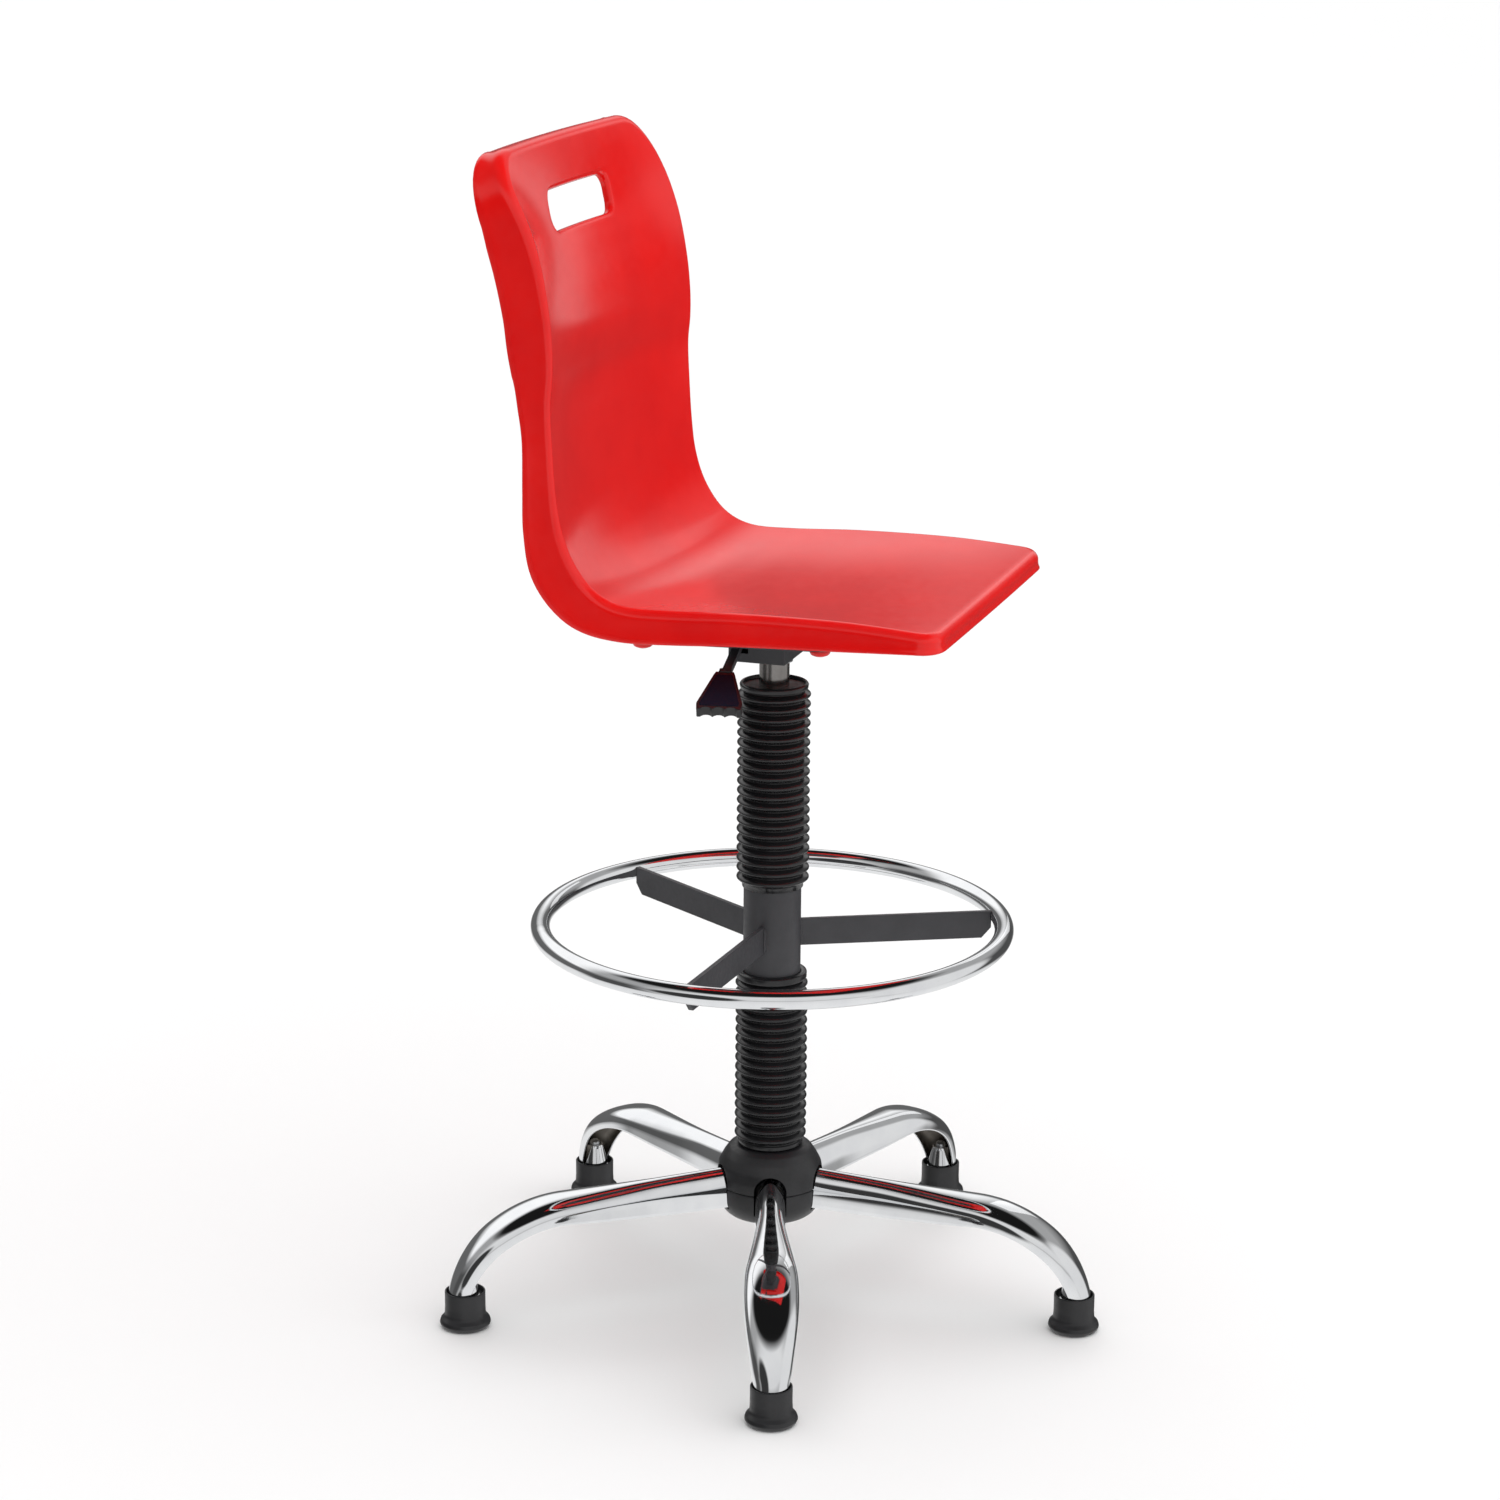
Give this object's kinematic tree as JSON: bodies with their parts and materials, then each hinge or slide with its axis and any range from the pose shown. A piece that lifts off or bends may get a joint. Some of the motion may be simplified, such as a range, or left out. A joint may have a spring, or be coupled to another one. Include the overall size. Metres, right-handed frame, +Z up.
{
  "type": "drafting chair",
  "caption": "High swivel chair with a one-piece moulded shell, gas lift, bellows, fixed footring and a star base on glides.",
  "frame": {"origin": "the point on the floor on the column's swivel axis", "axes": "+Z up along the column, -Y the way the sitter faces, +X to the sitter's left"},
  "size_m": [0.6186, 0.5907, 1.0967],
  "materials": {
    "red_shell": "gloss injection-moulded polypropylene",
    "chrome": "bright chrome plate",
    "dark_paint": "satin dark grey powder coat",
    "black_plastic": "satin black moulded nylon",
    "bellows": "satin black flexible gaiter",
    "steel": "machined steel",
    "gunmetal": "blackened steel tube"
  },
  "bodies": {
    "base": {"hub_core": "dark_paint", "hub_cover": "black_plastic", "hub_cap": "black_plastic", "leg_1": "chrome", "leg_2": "chrome", "leg_3": "chrome", "leg_4": "chrome", "leg_5": "chrome", "foot_holder_1": "chrome", "foot_holder_2": "chrome", "foot_holder_3": "chrome", "foot_holder_4": "chrome", "foot_holder_5": "chrome", "glide_pin_1": "steel", "glide_pin_2": "steel", "glide_pin_3": "steel", "glide_pin_4": "steel", "glide_pin_5": "steel", "glide_1": "black_plastic", "glide_2": "black_plastic", "glide_3": "black_plastic", "glide_4": "black_plastic", "glide_5": "black_plastic", "column_tube": "dark_paint", "column_bush": "black_plastic", "lower_race": "steel", "lower_bellows": "bellows", "upper_bellows": "bellows", "footring": "chrome", "footring_sleeve": "dark_paint", "footring_spoke_1": "dark_paint", "footring_spoke_2": "dark_paint", "footring_spoke_3": "dark_paint"},
    "lift_rod": {"piston_rod": "steel", "piston": "steel", "upper_race": "steel", "bearing_balls": "steel", "rod_washer": "steel", "rod_clip": "steel"},
    "seat": {"seat_shell": "red_shell", "shell_screws": "steel", "screw_caps": "red_shell", "seat_plate": "dark_paint", "lever_housing": "dark_paint", "taper_socket": "steel", "lever_pin": "steel", "gas_cylinder": "gunmetal", "rod_guide": "black_plastic", "bellows_ring": "black_plastic"},
    "lever": {"lever_rod": "dark_paint", "lever_grip": "black_plastic"},
    "button": {"release_button": "steel"}
  },
  "joints": [
    {"name": "seat_swivel", "type": "hinge", "parent": "base", "child": "lift_rod", "pos_m": [0, 0, 0.1], "axis": [0, 0, 1], "continuous": true},
    {"name": "height_adjust", "type": "slide", "parent": "lift_rod", "child": "seat", "axis": [0, 0, 1], "range_m": [-0.125, 0], "stiffness_N_per_m": 200, "springref_m": 1.5, "deforming": ["upper_bellows"]},
    {"name": "lever_lift", "type": "hinge", "parent": "seat", "child": "lever", "pos_m": [-0.022, 0.007, 0.6405], "axis": [0, 1, 0], "range_deg": [0, 5], "stiffness_Nm_per_rad": 1.5, "springref_deg": -5.73},
    {"name": "button_press", "type": "slide", "parent": "seat", "child": "button", "axis": [0, 0, -1], "range_m": [0, 0.002], "stiffness_N_per_m": 300, "springref_m": -0.002}
  ],
  "couplings": [
    {"joint": "button_press", "follows": "lever_lift", "m_per_rad": 0.022}
  ]
}
